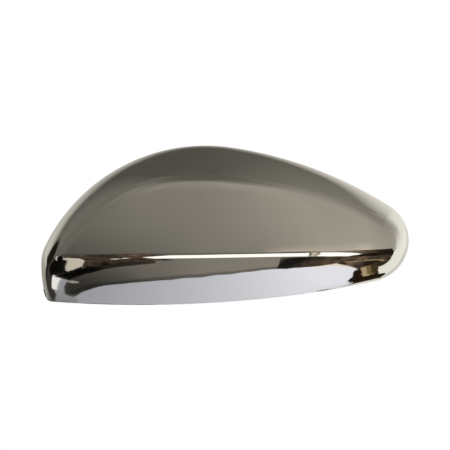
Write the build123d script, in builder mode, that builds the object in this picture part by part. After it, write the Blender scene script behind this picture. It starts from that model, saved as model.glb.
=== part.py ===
"""Clip-on cover for a car's wing mirror: one plated moulding, open at the back and underneath.

Frame: +X runs along the cover to its narrow nose, +Z is up, and the show face looks along -Y.
The back rim lies in the plane Y = 0, and the origin is midway between the two locating pegs.
"""
import os
from math import asin, atan2, cos, degrees, hypot, radians, sin, sqrt, tan

from build123d import *

# Driving dimensions, in millimetres and degrees
length = 240.0
wall = 2.5

# Rim outline, a chain of tangent arcs seen from the front
crown_z = 51.9
crown_radius = 116.5
brow_start = 8.2
nose_radius = 26.5
nose_z = -10.1
nose_end = -75.0
shoulder_radius = 26.0
tail_radius = 96.0
tail_z = -24.8
tail_end = 196.0
cut_z = -120.0

# Side wall, which leans in from the rim: slope at the rim and slope at the lean depth
lean_depth = 45.0
inset_slope = (0.19, 0.37)
shift_x_slope = (0.02, 0.20)
shift_z_slope = (0.08, 0.24)
section_depths = (0.0, 30.0, 66.0)

# Show face, turned about an upright axis behind the cover
depth = 62.0
bow_radius = 260.0
bow_x = -22.0
crease_z = -19.5
crease_rise = 0.7
crease_radius = 5.0
face_radius = 190.0
face_tilt = 8.0
face_top_z = 75.0
flank_radius = 180.0
flank_tilt = 34.0
flank_end = -78.0
edge_radius = 4.5

# Lower edge, an upright cut that follows one shallow arc and curls up at the tail
edge_arc_radius = 855.0
edge_low_x = -59.0
edge_low_z = -50.9
curl_gap = 9.0
curl_radius = 7.0
curl_turn = 60.0

# Two locating pegs, standing on the inside of the face
peg_spacing = 116.0
peg_diameter = 6.0
peg_tip = 12.0
boss_diameter = 10.0
gusset_width = 26.0
gusset_thickness = 2.0
gusset_back = 24.0

# Snap hooks, tongues that stand off the inside of the roof and of the lower flank
roof_hook_x = (-62.0, 0.0, 62.0)
roof_hook_drop = 17.5
lower_hook_x = (-74.0, 0.0, 60.0)
lower_hook_rise = 9.0
hook_width = 12.0
hook_thickness = 2.0
hook_back = 7.0
hook_nose = 2.4
hook_nose_length = 7.0
hook_catch = 1.2
hook_rib_height = 5.0
hook_rib_thickness = 1.6

# Stiffening ribs that follow the inside of the show face
rib_x = (-31.0, 31.0)
rib_thickness = 1.6
rib_height = 5.0
rib_back = 14.0
rib_edge_gap = 4.0

os.makedirs("parts", exist_ok=True)


def crossing(centre_a, radius_a, centre_b, radius_b, side):
    """Return one crossing of two circles, on the left (+1) or right (-1) of the line a to b."""
    span = hypot(centre_b[0] - centre_a[0], centre_b[1] - centre_a[1])
    along = (radius_a**2 - radius_b**2 + span**2) / (2 * span)
    across = side * sqrt(radius_a**2 - along**2)
    ux = (centre_b[0] - centre_a[0]) / span
    uz = (centre_b[1] - centre_a[1]) / span
    return (centre_a[0] + along * ux - across * uz, centre_a[1] + along * uz + across * ux)


def bearing(centre, point):
    """Return the direction of a point from a centre, in degrees from 0 to 360."""
    return degrees(atan2(point[1] - centre[1], point[0] - centre[0])) % 360


def stepped(point, distance, angle):
    """Return the point at a distance from another, in a direction in degrees."""
    return (point[0] + distance * cos(radians(angle)), point[1] + distance * sin(radians(angle)))


# Centres of the outline's arcs, each tangent to its neighbours, from the tail's end to the nose's
tail = (tail_radius - length / 2, tail_z)
shoulder = (shoulder_radius - length / 2, tail_z)
crown_drop = crown_z - crown_radius - tail_z
crown_x = shoulder[0] + sqrt((crown_radius - shoulder_radius) ** 2 - crown_drop**2)
crown = (crown_x, crown_z - crown_radius)
brow_foot = stepped(crown, crown_radius, 90 - brow_start)
nose = (length / 2 - nose_radius, nose_z)
nose_reach = hypot(brow_foot[0] - nose[0], brow_foot[1] - nose[1])
nose_drop = (brow_foot[0] - nose[0]) * sin(radians(brow_start))
nose_drop += (brow_foot[1] - nose[1]) * cos(radians(brow_start))
brow_radius = (nose_reach**2 - nose_radius**2) / (2 * (nose_drop - nose_radius))
brow = stepped(crown, crown_radius - brow_radius, 90 - brow_start)

# Directions at which one arc hands over to the next
tail_to_shoulder = 180
shoulder_to_crown = bearing(crown, shoulder)
crown_to_brow = 90 - brow_start
brow_to_nose = bearing(brow, nose)


def lean(slope, at):
    """Return how far a wall whose slope grows evenly has moved at a depth behind the front."""
    return slope[0] * at + (slope[1] - slope[0]) * at**2 / (2 * lean_depth)


def top_edge(x):
    """Return the height of the rim's upper outline at a place along the cover."""
    centre, radius = (crown, crown_radius)
    if x > crown[0] + crown_radius * sin(radians(brow_start)):
        centre, radius = (brow, brow_radius)
    return centre[1] + sqrt(radius**2 - (x - centre[0]) ** 2)


def lower_edge(x):
    """Return the height of the lower edge at a place along the cover."""
    return edge_low_z + edge_arc_radius - sqrt(edge_arc_radius**2 - (x - edge_low_x) ** 2)


def facing(at):
    """Return the upright plane at a depth in front of the rim, seen from the front."""
    return Plane(origin=(0, -at, 0), x_dir=(1, 0, 0), z_dir=(0, -1, 0))


def outline_wire(inset, shift_x, shift_z):
    """Return the rim outline, moved inwards and shifted."""

    def moved(centre):
        return (centre[0] + shift_x, centre[1] + shift_z)

    def on_arc(centre, radius, angle):
        return stepped(moved(centre), radius - inset, angle)

    tail_foot = on_arc(tail, tail_radius, tail_end)
    nose_foot = on_arc(nose, nose_radius, nose_end)
    tail_run = tan(radians(tail_end - 180))
    nose_run = tan(radians(-nose_end))
    fall = nose_foot[0] - nose_run * nose_foot[1] - tail_foot[0] - tail_run * tail_foot[1]
    keel_z = -fall / (tail_run + nose_run)
    keel = (tail_foot[0] + tail_run * (tail_foot[1] - keel_z), keel_z)
    with BuildLine() as wire:
        Line(keel, tail_foot)
        CenterArc(moved(tail), tail_radius - inset, tail_end, tail_to_shoulder - tail_end)
        CenterArc(
            moved(shoulder),
            shoulder_radius - inset,
            tail_to_shoulder,
            shoulder_to_crown - tail_to_shoulder,
        )
        CenterArc(moved(crown), crown_radius - inset, shoulder_to_crown, crown_to_brow - shoulder_to_crown)
        CenterArc(moved(brow), brow_radius - inset, crown_to_brow, brow_to_nose - crown_to_brow)
        CenterArc(moved(nose), nose_radius - inset, brow_to_nose, nose_end - brow_to_nose)
        Line(nose_foot, keel)
    return wire.line


def turned_front(inset):
    """Return the body turned about the upright axis, with its crease rounded."""
    face_centre = (
        bow_radius - face_radius * cos(radians(face_tilt)),
        crease_z - face_radius * sin(radians(face_tilt)),
    )
    flank_centre = (
        bow_radius - flank_radius * cos(radians(flank_tilt)),
        crease_z + flank_radius * sin(radians(flank_tilt)),
    )
    face_reach = face_radius - inset
    flank_reach = flank_radius - inset
    crease = crossing(face_centre, face_reach, flank_centre, flank_reach, -1)
    face_start = degrees(atan2(crease[1] - face_centre[1], crease[0] - face_centre[0]))
    face_stop = degrees(asin((face_top_z - face_centre[1]) / face_reach))
    flank_start = degrees(atan2(crease[1] - flank_centre[1], crease[0] - flank_centre[0]))
    pivot = (bow_x, bow_radius - depth, 0)
    upright = (-sin(radians(crease_rise)), 0, cos(radians(crease_rise)))
    sideways = (cos(radians(crease_rise)), 0, sin(radians(crease_rise)))
    with BuildPart() as front:
        with BuildSketch(Plane(origin=pivot, x_dir=(0, 1, 0), z_dir=sideways)) as profile:
            with BuildLine():
                face_arc = CenterArc(face_centre, face_reach, face_start, face_stop - face_start)
                flank_arc = CenterArc(flank_centre, flank_reach, flank_start, flank_end - flank_start)
                Line(face_arc @ 1, (0, (face_arc @ 1).Y))
                Line((0, (face_arc @ 1).Y), (0, (flank_arc @ 1).Y))
                Line((0, (flank_arc @ 1).Y), flank_arc @ 1)
            make_face()
            fillet(profile.vertices().sort_by(Axis.X)[-1], crease_radius - min(inset, crease_radius - 1.0))
        revolve(axis=Axis(pivot, upright))
    return front.part


def skin_blank(inset):
    """Return the solid form of the cover at a distance inside its outer skin."""
    front = turned_front(inset)
    with BuildPart() as blank:
        for at in section_depths:
            with BuildSketch(facing(at)):
                add(
                    outline_wire(
                        inset + lean(inset_slope, at),
                        -lean(shift_x_slope, at),
                        -lean(shift_z_slope, at),
                    )
                )
                make_face()
        loft()
        add(front, mode=Mode.INTERSECT)
        turned = blank.faces().filter_by(GeomType.REVOLUTION) + blank.faces().filter_by(GeomType.TORUS)
        walls = blank.faces().filter_by(GeomType.BSPLINE)
        wall_edges = walls.edges()
        brim = [edge for edge in turned.edges() if any(edge.is_same(other) for other in wall_edges)]
        fillet(brim, edge_radius - min(inset, edge_radius - 1.0))
    return blank.part


# Shell: the outer form less the inner one, cut along the lower edge
outer_form = skin_blank(0.0)
inner_form = skin_blank(wall)
with BuildPart() as shell:
    add(outer_form)
    add(inner_form, mode=Mode.SUBTRACT)
    with BuildSketch(facing(-10.0)):
        with BuildLine():
            curl_x = curl_gap - length / 2
            start = (curl_x, lower_edge(curl_x))
            arc_centre = (edge_low_x, edge_low_z + edge_arc_radius)
            first = bearing(arc_centre, start)
            last = 270 + degrees(asin((length * 0.55 - edge_low_x) / edge_arc_radius))
            low = CenterArc(arc_centre, edge_arc_radius, first, last - first)
            curl = JernArc(start, -1 * (low % 0), curl_radius, -curl_turn)
            out = Line(curl @ 1, curl @ 1 + (curl % 1) * 40)
            Polyline(out @ 1, ((out @ 1).X, cut_z), ((low @ 1).X, cut_z), low @ 1)
        make_face()
    extrude(amount=depth + 20, mode=Mode.SUBTRACT)

# Peg: a boss with a slim tip and crossed gussets, long enough to reach into the skin
with BuildPart() as peg:
    with BuildSketch(facing(0.0)):
        Circle(peg_diameter / 2)
    extrude(amount=depth)
    with BuildSketch(facing(peg_tip)):
        Circle(boss_diameter / 2)
    extrude(amount=depth)
    with BuildSketch(facing(gusset_back)):
        Rectangle(gusset_width, gusset_thickness)
        Rectangle(gusset_thickness, gusset_width)
    extrude(amount=depth)

# Hook: a tongue with a ramped nose above it and a tapered rib below it
nose_foot_y = -hook_back - hook_nose_length
nose_top_y = nose_foot_y + hook_catch
with BuildPart() as hook:
    with BuildSketch(Plane.YZ):
        with BuildLine():
            Polyline(
                (-depth, -hook_thickness),
                (-hook_back, -hook_thickness),
                (-hook_back, 0),
                (nose_top_y, hook_nose),
                (nose_foot_y, hook_nose),
                (nose_foot_y, 0),
                (-depth, 0),
                close=True,
            )
        make_face()
    extrude(amount=hook_width / 2, both=True)
    with BuildSketch(Plane.YZ):
        with BuildLine():
            Polyline(
                (-depth, -hook_thickness),
                (nose_foot_y, -hook_thickness),
                (-depth, -hook_thickness - hook_rib_height),
                close=True,
            )
        make_face()
    extrude(amount=hook_rib_thickness / 2, both=True)

with BuildPart() as lower_hook:
    add(hook.part)
    mirror(about=Plane.XY, mode=Mode.REPLACE)

# Fittings: everything inside, trimmed at the middle of the wall so that it grows out of the skin
middle_form = skin_blank(wall / 2)
rib_form = turned_front(wall + rib_height)
with BuildPart() as ribs:
    add(middle_form)
    add(rib_form, mode=Mode.SUBTRACT)
    with BuildSketch(facing(rib_back)):
        for x in rib_x:
            foot = lower_edge(x) + rib_edge_gap
            with Locations((x, (foot + crown_z) / 2)):
                Rectangle(rib_thickness, crown_z - foot)
    extrude(amount=depth, mode=Mode.INTERSECT)

with BuildPart() as fittings:
    with Locations((-peg_spacing / 2, 0, 0), (peg_spacing / 2, 0, 0)):
        add(peg.part)
    with Locations(*[(x, 0, top_edge(x) - roof_hook_drop) for x in roof_hook_x]):
        add(hook.part)
    with Locations(*[(x, 0, lower_edge(x) + lower_hook_rise) for x in lower_hook_x]):
        add(lower_hook.part)
    add(middle_form, mode=Mode.INTERSECT)
    add(ribs.part)

# Cover: the shell and its fittings as one moulding
with BuildPart() as cover:
    add(shell.part)
    add(fittings.part)

print("cover", cover.part.volume, cover.part.is_valid, len(cover.solids()), cover.part.bounding_box())
cover.part.label = "mirror_cover"
export_step(cover.part, "parts/mirror_cover.step")
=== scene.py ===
"""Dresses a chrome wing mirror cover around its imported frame.

The cover is one plated moulding. Its shell is sampled from a distance function that follows the
part's own sizes, and its pegs, hooks and ribs are seated on the inside of that shell. Sizes are in
millimetres and degrees, and meshes are in metres in the frame of the part: +X towards the narrow
nose, +Z up, and the show face looking along -Y.
"""
import logging
import math
from collections.abc import Sequence
from dataclasses import dataclass, field
from enum import Enum

import bmesh
import bpy
import numpy as np
from mathutils import Matrix, Vector


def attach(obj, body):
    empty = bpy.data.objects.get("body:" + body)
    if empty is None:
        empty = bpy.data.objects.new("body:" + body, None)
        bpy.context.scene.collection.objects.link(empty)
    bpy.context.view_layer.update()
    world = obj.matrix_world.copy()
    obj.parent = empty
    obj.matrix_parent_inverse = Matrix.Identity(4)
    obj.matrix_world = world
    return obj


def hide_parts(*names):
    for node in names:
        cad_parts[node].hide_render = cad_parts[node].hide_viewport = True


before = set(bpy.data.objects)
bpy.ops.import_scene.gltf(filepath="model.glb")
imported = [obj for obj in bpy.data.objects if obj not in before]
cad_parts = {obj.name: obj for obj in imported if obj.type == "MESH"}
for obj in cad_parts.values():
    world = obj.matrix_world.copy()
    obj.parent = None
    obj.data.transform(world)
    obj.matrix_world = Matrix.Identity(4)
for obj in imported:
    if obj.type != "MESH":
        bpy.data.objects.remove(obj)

LOG = logging.getLogger("mirror_cover")
MM = 0.001
LENGTH = 240.0
DEPTH = 62.0
WALL = 2.5
BODY = "root"
NODE = "mirror_cover"

Array = np.ndarray
Stations = Sequence[tuple[float, float]]
Span = tuple[float, float]
Triple = tuple[float, float, float]
Inputs = dict[str | int, object]


class HookRow(Enum):
    """The two rows of snap hooks and the turn about Y that each row's hooks get, in degrees."""

    ROOF = 0.0
    LOWER = 180.0


class Polish(Enum):
    """The two grades of plating, by the index of their material on the shell."""

    SHOW = 0
    BACK = 1


def smooth_step(low: float, high: float, value: Array) -> Array:
    """Returns a smooth rise from 0 at low to 1 at high."""
    share = np.clip((value - low) / (high - low), 0.0, 1.0)
    return share * share * (3 - 2 * share)


def smooth_max(first: Array, second: Array, reach: float) -> Array:
    """Returns the larger of two distances, rounded where they are within reach of each other."""
    gap = np.maximum(reach - np.abs(first - second), 0.0) / reach
    return np.maximum(first, second) + reach * gap**3 / 6


def unit(vectors: Array) -> Array:
    """Returns vectors at length 1."""
    return vectors / np.linalg.norm(vectors, axis=-1, keepdims=True)


def grid_quads(grid: Array) -> list[list[int]]:
    """Returns the four corners of each cell of an index grid."""
    corners = [grid[:-1, :-1], grid[:-1, 1:], grid[1:, 1:], grid[1:, :-1]]
    return np.stack(corners, axis=-1).reshape(-1, 4).tolist()


def put_in_scene(name: str, data: bpy.types.ID) -> bpy.types.Object:
    """Adds an object with the given data to the scene.

    Args:
        name: The object's name.
        data: Its mesh or camera.

    Returns:
        The object, at the origin.
    """
    made = bpy.data.objects.new(name, data)
    bpy.context.scene.collection.objects.link(made)
    return made


@dataclass
class NodeSheet:
    """A node tree while its nodes are added and joined."""

    tree: bpy.types.NodeTree

    def sockets(self, way: str, kinds: dict[str, str]) -> None:
        """Gives the tree named inputs or outputs, by their kinds."""
        for name, kind in kinds.items():
            self.tree.interface.new_socket(name=name, in_out=way, socket_type=f"NodeSocket{kind}")

    def add(self, kind: str, inputs: Inputs | None = None, **settings: object) -> bpy.types.Node:
        """Adds a node.

        Args:
            kind: The node's type.
            inputs: What goes into its sockets, by name or place: a value or another node's output.
            settings: The node's own properties.

        Returns:
            The node.
        """
        node = self.tree.nodes.new(kind)
        for name, value in settings.items():
            setattr(node, name, value)
        self.feed(node, inputs or {})
        return node

    def feed(self, node: bpy.types.Node, inputs: Inputs) -> None:
        """Sets or joins a node's inputs.

        Args:
            node: The node.
            inputs: A value or another node's output for each socket, by name or place.
        """
        for place, value in inputs.items():
            if isinstance(value, bpy.types.NodeSocket):
                self.tree.links.new(value, node.inputs[place])
            else:
                node.inputs[place].default_value = value


@dataclass(frozen=True)
class Arc:
    """One arc of the rim's outline, from its start to its stop angle in degrees."""

    centre: tuple[float, float]
    radius: float
    start: float
    stop: float


@dataclass
class RimOutline:
    """The rim seen from the front: five tangent arcs with a straight run-out at each end."""

    length: float = LENGTH
    crown_z: float = 51.9
    crown_radius: float = 116.5
    brow_start: float = 8.2
    nose_radius: float = 26.5
    nose_z: float = -10.1
    nose_end: float = -75.0
    shoulder_radius: float = 26.0
    tail_radius: float = 96.0
    tail_z: float = -24.8
    tail_end: float = 196.0
    arcs: list[Arc] = field(init=False)

    def __post_init__(self) -> None:
        """Works out the arcs' centres and hand-over angles, from the tail to the nose."""
        half = self.length / 2
        shoulder = (self.shoulder_radius - half, self.tail_z)
        drop = self.crown_z - self.crown_radius - self.tail_z
        reach = self.crown_radius - self.shoulder_radius
        crown = (shoulder[0] + math.sqrt(reach**2 - drop**2), self.crown_z - self.crown_radius)
        nose = (half - self.nose_radius, self.nose_z)
        turn = math.radians(90 - self.brow_start)
        apart = (
            crown[0] + self.crown_radius * math.cos(turn) - nose[0],
            crown[1] + self.crown_radius * math.sin(turn) - nose[1],
        )
        across = apart[0] * math.cos(turn) + apart[1] * math.sin(turn)
        excess = math.hypot(*apart) ** 2 - self.nose_radius**2
        brow_radius = excess / (2 * (across - self.nose_radius))
        step = self.crown_radius - brow_radius
        brow = (crown[0] + step * math.cos(turn), crown[1] + step * math.sin(turn))
        to_crown = math.degrees(math.atan2(shoulder[1] - crown[1], shoulder[0] - crown[0]))
        to_nose = math.degrees(math.atan2(nose[1] - brow[1], nose[0] - brow[0]))
        self.arcs = [
            Arc((self.tail_radius - half, self.tail_z), self.tail_radius, 180.0, self.tail_end),
            Arc(shoulder, self.shoulder_radius, to_crown, 180.0),
            Arc(crown, self.crown_radius, 90 - self.brow_start, to_crown),
            Arc(brow, brow_radius, to_nose, 90 - self.brow_start),
            Arc(nose, self.nose_radius, self.nose_end, to_nose),
        ]

    def distance(self, x: Array, z: Array) -> Array:
        """Measures how far points lie outside the outline.

        Args:
            x: Places along the cover.
            z: Heights.

        Returns:
            Signed distances, negative inside.
        """
        best = np.full(np.shape(x), -self.length)
        for arc in self.arcs:
            dx, dz = x - arc.centre[0], z - arc.centre[1]
            middle = math.radians((arc.start + arc.stop) / 2)
            half = math.radians((arc.stop - arc.start) / 2)
            swing = (np.arctan2(dz, dx) - middle + math.pi) % (2 * math.pi) - math.pi
            gap = np.hypot(dx, dz) - arc.radius
            best = np.where(np.abs(swing) <= half, np.maximum(best, gap), best)
        ends = ((self.arcs[0], self.tail_end, 1), (self.arcs[-1], self.nose_end, -1))
        for arc, angle, way in ends:
            turn = math.radians(angle)
            dx = x - arc.centre[0] - arc.radius * math.cos(turn)
            dz = z - arc.centre[1] - arc.radius * math.sin(turn)
            past = way * (dz * math.cos(turn) - dx * math.sin(turn)) > 0
            best = np.where(past, np.maximum(best, dx * math.cos(turn) + dz * math.sin(turn)), best)
        return best

    def top(self, x: float) -> float:
        """Finds the height of the upper outline.

        Args:
            x: A place along the cover.

        Returns:
            The height there.
        """
        crown, brow = self.arcs[2], self.arcs[3]
        handover = crown.centre[0] + crown.radius * math.sin(math.radians(self.brow_start))
        arc = brow if x > handover else crown
        return arc.centre[1] + math.sqrt(arc.radius**2 - (x - arc.centre[0]) ** 2)


@dataclass
class LowerEdge:
    """The upright cut along the bottom: one shallow arc that curls up at the tail."""

    length: float = LENGTH
    arc_radius: float = 855.0
    low_x: float = -59.0
    low_z: float = -50.9
    curl_gap: float = 9.0
    curl_radius: float = 7.0
    curl_turn: float = 60.0
    slope_step: float = 0.05

    def arc_height(self, x: Array) -> Array:
        """Returns the height of the shallow arc."""
        return self.low_z + self.arc_radius - np.sqrt(self.arc_radius**2 - (x - self.low_x) ** 2)

    def height(self, x: Array) -> Array:
        """Finds the height of the whole edge, curl and run-out included.

        Args:
            x: Places along the cover.

        Returns:
            The heights there.
        """
        start_x = self.curl_gap - self.length / 2
        start_z = float(self.arc_height(np.float64(start_x)))
        swing = math.asin((start_x - self.low_x) / self.arc_radius)
        centre_x = start_x - self.curl_radius * math.sin(swing)
        centre_z = start_z + self.curl_radius * math.cos(swing)
        finish = swing - math.radians(self.curl_turn)
        end_x = centre_x + self.curl_radius * math.sin(finish)
        end_z = centre_z - self.curl_radius * math.cos(finish)
        inside = np.clip(x, end_x, start_x) - centre_x
        curl = centre_z - np.sqrt(self.curl_radius**2 - inside**2)
        run_out = end_z + (x - end_x) * math.tan(finish)
        return np.where(x >= start_x, self.arc_height(x), np.where(x >= end_x, curl, run_out))

    def downward(self, x: Array) -> Array:
        """Finds the normals of the cut.

        Args:
            x: Places along the cover.

        Returns:
            Unit normals, which point down and away from the cover.
        """
        step = self.slope_step
        slope = (self.height(x + step) - self.height(x - step)) / (2 * step)
        size = np.sqrt(1 + slope**2)
        return np.stack([slope / size, np.zeros_like(x), -1 / size], axis=-1)


@dataclass
class Skin:
    """One skin of the shell as a distance function: a turned front inside a wall that leans in."""

    inset: float = 0.0
    rim: RimOutline = field(default_factory=RimOutline)
    lean_depth: float = 45.0
    inset_slope: Span = (0.19, 0.37)
    shift_x_slope: Span = (0.02, 0.20)
    shift_z_slope: Span = (0.08, 0.24)
    depth: float = DEPTH
    bow_radius: float = 260.0
    bow_x: float = -22.0
    crease_z: float = -19.5
    crease_rise: float = 0.7
    crease_radius: float = 5.0
    face_radius: float = 190.0
    face_tilt: float = 8.0
    flank_radius: float = 180.0
    flank_tilt: float = 34.0
    edge_radius: float = 4.5
    edge_turn: float = 70.0
    least_radius: float = 1.0
    normal_step: float = 0.02
    halvings: int = 40

    def lean(self, slope: Span, depth: Array) -> Array:
        """Returns how far a wall whose slope grows evenly has moved at a depth."""
        return slope[0] * depth + (slope[1] - slope[0]) * depth**2 / (2 * self.lean_depth)

    def blend_reach(self, radius: float, turn: float) -> float:
        """Returns the reach at which smooth_max rounds a corner as deep as a fillet does."""
        bend = max(radius - self.inset, self.least_radius)
        return 6 * bend * (1 - math.cos(math.radians(turn / 2)))

    def wall(self, x: Array, y: Array, z: Array) -> Array:
        """Measures distances from the leaning side wall.

        Args:
            x: Places along the cover.
            y: Places from front to back, negative in front of the rim plane.
            z: Heights.

        Returns:
            Distances, negative inside.
        """
        depth = -y
        gap = self.rim.distance(
            x + self.lean(self.shift_x_slope, depth),
            z + self.lean(self.shift_z_slope, depth),
        )
        return gap + self.lean(self.inset_slope, depth) + self.inset

    def front(self, x: Array, y: Array, z: Array) -> Array:
        """Measures distances from the show face and the flank, which meet in the crease.

        Args:
            x: Places along the cover.
            y: Places from front to back, negative in front of the rim plane.
            z: Heights.

        Returns:
            Distances, negative inside.
        """
        rise = math.radians(self.crease_rise)
        dx = x - self.bow_x
        height = z * math.cos(rise) - dx * math.sin(rise)
        side = z * math.sin(rise) + dx * math.cos(rise)
        out = np.hypot(side, y - self.bow_radius + self.depth) - self.bow_radius
        up = height - self.crease_z
        gaps = []
        for radius, tilt, way in (
            (self.face_radius, math.radians(self.face_tilt), 1),
            (self.flank_radius, math.radians(self.flank_tilt), -1),
        ):
            far = np.hypot(out + radius * math.cos(tilt), up + way * radius * math.sin(tilt))
            gaps.append(far - radius + self.inset)
        reach = self.blend_reach(self.crease_radius, self.face_tilt + self.flank_tilt)
        return smooth_max(*gaps, reach)

    def distance(self, x: Array, y: Array, z: Array) -> Array:
        """Returns distances from the skin, negative inside."""
        reach = self.blend_reach(self.edge_radius, self.edge_turn)
        return smooth_max(self.front(x, y, z), self.wall(x, y, z), reach)

    def normals(self, points: Array) -> Array:
        """Finds the normals at points on the skin.

        Args:
            points: The points, with a last axis of 3.

        Returns:
            Outward unit normals, in the same shape.
        """
        slopes = []
        for axis in self.normal_step * np.eye(3):
            ahead, behind = np.moveaxis(points + axis, -1, 0), np.moveaxis(points - axis, -1, 0)
            slopes.append(self.distance(*ahead) - self.distance(*behind))
        return unit(np.stack(slopes, axis=-1))

    def depth_at(self, x: float, z: float) -> float:
        """Finds the skin straight in front of a point of the rim plane.

        Args:
            x: The point's place along the cover.
            z: The point's height.

        Returns:
            The y of the skin there.
        """
        low, high = -self.depth - self.lean_depth, 0.0
        for _ in range(self.halvings):
            middle = (low + high) / 2
            outside = self.distance(np.float64(x), np.float64(middle), np.float64(z)) > 0
            low, high = (middle, high) if outside else (low, middle)
        return (low + high) / 2


@dataclass
class SkinSweep:
    """Samples a skin on rows from the lower edge to the rim and columns from tail to nose."""

    skin: Skin
    edge: LowerEdge
    bevel: float
    centre_x: float = -3.0
    spread: float = 75.0
    reach: float = 320.0
    flat_step: float = 1.0
    turn_step: float = 2.5
    halvings: int = 44
    row_detail: int = 5
    column_detail: int = 8
    guide_rows: tuple[float, ...] = (4.0, 30.0, 60.0, 86.0)

    def points(self, alpha: Array, beta: Array) -> Array:
        """Finds where rays from the lower back edge meet the skin.

        Args:
            alpha: Angles from the lower edge, 0, up to the rim, pi / 2.
            beta: Angles along the cover, from -pi / 2 at the tail to pi / 2 at the nose.

        Returns:
            Points on the skin, in the shape of the angles with a last axis of 3.
        """
        start_x = self.centre_x + self.spread * np.sin(beta)
        forward, upward = -np.cos(beta) * np.cos(alpha), np.cos(beta) * np.sin(alpha)
        low, high = np.zeros_like(alpha), np.full_like(alpha, self.reach)

        def place(far: Array) -> tuple[Array, Array, Array]:
            """Returns the point at a distance along each ray, which rides on the lower edge."""
            x = start_x + far * np.sin(beta)
            return x, far * forward - self.bevel, self.edge.height(x) + self.bevel + far * upward

        for _ in range(self.halvings):
            middle = (low + high) / 2
            outside = self.skin.distance(*place(middle)) > 0
            low, high = np.where(outside, low, middle), np.where(outside, middle, high)
        return np.stack(place((low + high) / 2), axis=-1)

    def pace(self, points: Array, axis: int) -> Array:
        """Counts steps along an axis, by length and by turn.

        Args:
            points: A grid of points on the skin.
            axis: The grid's axis.

        Returns:
            The running count, from the second point on.
        """
        normals = self.skin.normals(points)
        gone = np.linalg.norm(np.diff(points, axis=axis), axis=-1) / self.flat_step
        bent = np.linalg.norm(np.diff(normals, axis=axis), axis=-1) / math.radians(self.turn_step)
        return np.cumsum(gone + bent, axis=axis)

    def columns(self, count: int) -> Array:
        """Spaces the columns, closer together where the skin turns.

        Args:
            count: Number of columns of quads.

        Returns:
            The beta of each column's border.
        """
        fine = np.linspace(-math.pi / 2, math.pi / 2, self.column_detail * count + 1)
        alpha, beta = np.meshgrid(np.radians(self.guide_rows), fine, indexing="ij")
        pace = self.pace(self.points(alpha, beta), axis=1).mean(axis=0)
        pace = np.concatenate([[0.0], pace])
        return np.interp(np.linspace(0.0, pace[-1], count + 1), pace, fine)

    def grid(self, rows: int, beta: Array) -> tuple[Array, Array]:
        """Samples the skin.

        Args:
            rows: Number of rows of quads.
            beta: The columns' angles.

        Returns:
            Points and outward normals, by row and column.
        """
        fine = np.linspace(0.0, math.pi / 2, self.row_detail * rows + 1)
        alpha, spread = np.meshgrid(fine, beta, indexing="ij")
        pace = self.pace(self.points(alpha, spread), axis=0)
        pace = np.concatenate([np.zeros((1, len(beta))), pace])
        chosen = np.empty((rows + 1, len(beta)))
        for column in range(len(beta)):
            even = np.linspace(0.0, pace[-1, column], rows + 1)
            chosen[:, column] = np.interp(even, pace[:, column], fine)
        chosen[:, 0], chosen[:, -1] = chosen[:, 1], chosen[:, -2]
        points = self.points(chosen, np.broadcast_to(beta, chosen.shape))
        return points, self.skin.normals(points)


@dataclass
class MeshBook:
    """Vertices, normals and faces of one mesh while it is put together."""

    points: list[Array] = field(default_factory=list)
    normals: list[Array] = field(default_factory=list)
    faces: list[tuple[int, ...]] = field(default_factory=list)
    finishes: list[int] = field(default_factory=list)
    count: int = 0

    def add(self, points: Array, normals: Array) -> Array:
        """Adds points with their normals.

        Args:
            points: The points, with a last axis of 3.
            normals: Their normals.

        Returns:
            The points' indices, in the same shape.
        """
        shape = points.shape[:-1]
        self.points.append(points.reshape(-1, 3))
        self.normals.append(normals.reshape(-1, 3))
        indices = np.arange(self.count, self.count + math.prod(shape)).reshape(shape)
        self.count += math.prod(shape)
        return indices

    def quads(self, grid: Array, polish: Polish, flip: bool = False) -> None:
        """Adds the quads of an index grid, as triangles where two of a quad's corners are one.

        Args:
            grid: The indices, by row and column.
            polish: The grade of plating on them.
            flip: Whether they face the other way.
        """
        for face in grid_quads(grid):
            ring = [vertex for place, vertex in enumerate(face) if vertex != face[place - 1]]
            if len(ring) > 2:
                self.faces.append(tuple(reversed(ring)) if flip else tuple(ring))
                self.finishes.append(polish.value)

    def make(self, name: str) -> bpy.types.Object:
        """Makes the mesh, in metres, with its own normals.

        Args:
            name: The piece's name.

        Returns:
            The piece, at the origin.
        """
        mesh = bpy.data.meshes.new(name)
        corners = np.concatenate([np.array(face) for face in self.faces])
        used, renumbered = np.unique(corners, return_inverse=True)
        points = np.concatenate(self.points)[used] * MM
        normals = np.concatenate(self.normals)[used]
        ends = np.cumsum([len(face) for face in self.faces])
        faces = [part.tolist() for part in np.split(renumbered, ends[:-1])]
        mesh.from_pydata(points.tolist(), [], faces)
        mesh.polygons.foreach_set("material_index", self.finishes)
        mesh.shade_smooth()
        mesh.normals_split_custom_set_from_vertices(normals.tolist())
        mesh.update()
        return put_in_scene(name, mesh)


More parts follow.
